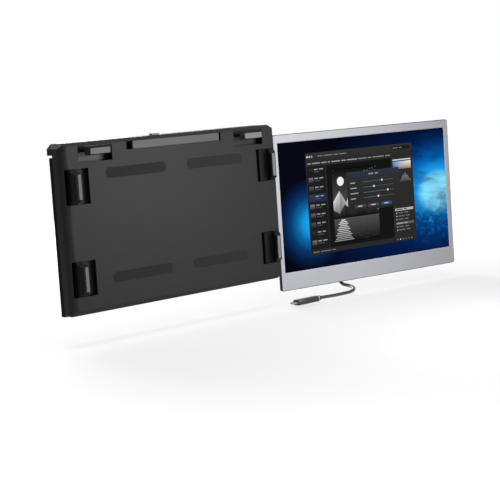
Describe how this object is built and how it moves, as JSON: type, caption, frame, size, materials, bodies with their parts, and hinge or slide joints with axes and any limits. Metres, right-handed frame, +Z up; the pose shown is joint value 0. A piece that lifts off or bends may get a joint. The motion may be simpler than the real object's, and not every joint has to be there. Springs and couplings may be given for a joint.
{
  "type": "laptop screen extender",
  "caption": "Black housing with sliding hooks for the back of a laptop lid, and a silver-framed monitor that swings out at its right side on a short lead.",
  "frame": {"origin": "centre of the housing's front face, which lies against the back of the laptop's lid", "axes": "+X to the viewer's right, towards the monitor; +Y away from the viewer, out of the housing's back; +Z up, along the lid's height"},
  "size_m": [0.6509, 0.069, 0.2295],
  "materials": {
    "housing_plastic": "moulded, fine spark-eroded grain",
    "stand_plastic": "moulded, fine grain",
    "hook_plastic": "moulded, satin",
    "lip_pad": "moulded soft pad",
    "grip_rubber": "matt strip",
    "foot_rubber": "matt",
    "carriage_metal": "stamped sheet, black anodised",
    "slider_plastic": "moulded, satin",
    "knob_plastic": "moulded, satin",
    "hinge_metal": "black coated steel sheet",
    "pin_steel": "turned",
    "screw_steel": "blackened",
    "back_plastic": "moulded, fine grain",
    "frame_silver": "fine brushed, anodised",
    "screen_glass": "polished, lit picture",
    "backlight_metal": "sheet",
    "board": "solder mask",
    "socket_metal": "drawn",
    "button_plastic": "satin",
    "plug_plastic": "satin moulded",
    "lead_jacket": "smooth jacket"
  },
  "bodies": {
    "housing": {"front_shell": "housing_plastic", "rear_cover": "housing_plastic", "cover_screws": "screw_steel", "grip_pads": "grip_rubber", "guide_screws": "screw_steel", "kickstand_pins": "pin_steel"},
    "left_hook_carriage": {"left_hooks": "hook_plastic", "left_lip_pads": "lip_pad", "left_carriage": "carriage_metal"},
    "right_hook_carriage": {"right_hooks": "hook_plastic", "right_lip_pads": "lip_pad", "right_carriage": "carriage_metal"},
    "top_hook_carriage": {"top_hooks": "hook_plastic", "top_lip_pads": "lip_pad", "top_carriage": "carriage_metal"},
    "lock": {"lock_slider": "slider_plastic", "lock_knob": "knob_plastic"},
    "stand": {"kickstand": "stand_plastic", "kickstand_feet": "foot_rubber"},
    "pull_out_plate": {"hinge_plate": "hinge_metal", "hinge_pin": "pin_steel"},
    "monitor": {"monitor_leaf": "hinge_metal", "leaf_screws": "screw_steel", "monitor_back_shell": "back_plastic", "monitor_bezel": "frame_silver", "display_panel": "screen_glass", "backlight": "backlight_metal", "driver_board": "board", "usb_socket": "socket_metal", "monitor_plug": "plug_plastic", "monitor_plug_tip": "socket_metal", "lead_boot": "plug_plastic", "usb_lead": "lead_jacket", "plug_collar": "plug_plastic", "laptop_plug": "plug_plastic", "laptop_plug_tip": "socket_metal"},
    "button": {"power_button": "button_plastic"}
  },
  "joints": [
    {"name": "left_hooks_slide", "type": "slide", "parent": "housing", "child": "left_hook_carriage", "axis": [1, 0, 0], "range_m": [-0.0036, 0.02]},
    {"name": "right_hooks_slide", "type": "slide", "parent": "housing", "child": "right_hook_carriage", "axis": [-1, 0, 0], "range_m": [0, 0.02]},
    {"name": "top_hooks_slide", "type": "slide", "parent": "housing", "child": "top_hook_carriage", "axis": [0, 0, -1], "range_m": [0, 0.015]},
    {"name": "lock_slide", "type": "slide", "parent": "housing", "child": "lock", "axis": [1, 0, 0], "range_m": [-0.0096, 0.0032]},
    {"name": "kickstand_hinge", "type": "hinge", "parent": "housing", "child": "stand", "pos_m": [0, 0.02725, 0.07765], "axis": [1, 0, 0], "range_deg": [0, 70]},
    {"name": "plate_slide", "type": "slide", "parent": "housing", "child": "pull_out_plate", "axis": [1, 0, 0], "range_m": [0, 0.04]},
    {"name": "monitor_swing", "type": "hinge", "parent": "pull_out_plate", "child": "monitor", "pos_m": [0.1793, 0.026, -0.01], "axis": [0, 0, -1], "range_deg": [-186.5, 26]},
    {"name": "button_press", "type": "slide", "parent": "monitor", "child": "button", "axis": [-0.1141, -0.9935, 0], "range_m": [0, 0.0006], "stiffness_N_per_m": 800, "springref_m": -0.0003}
  ]
}
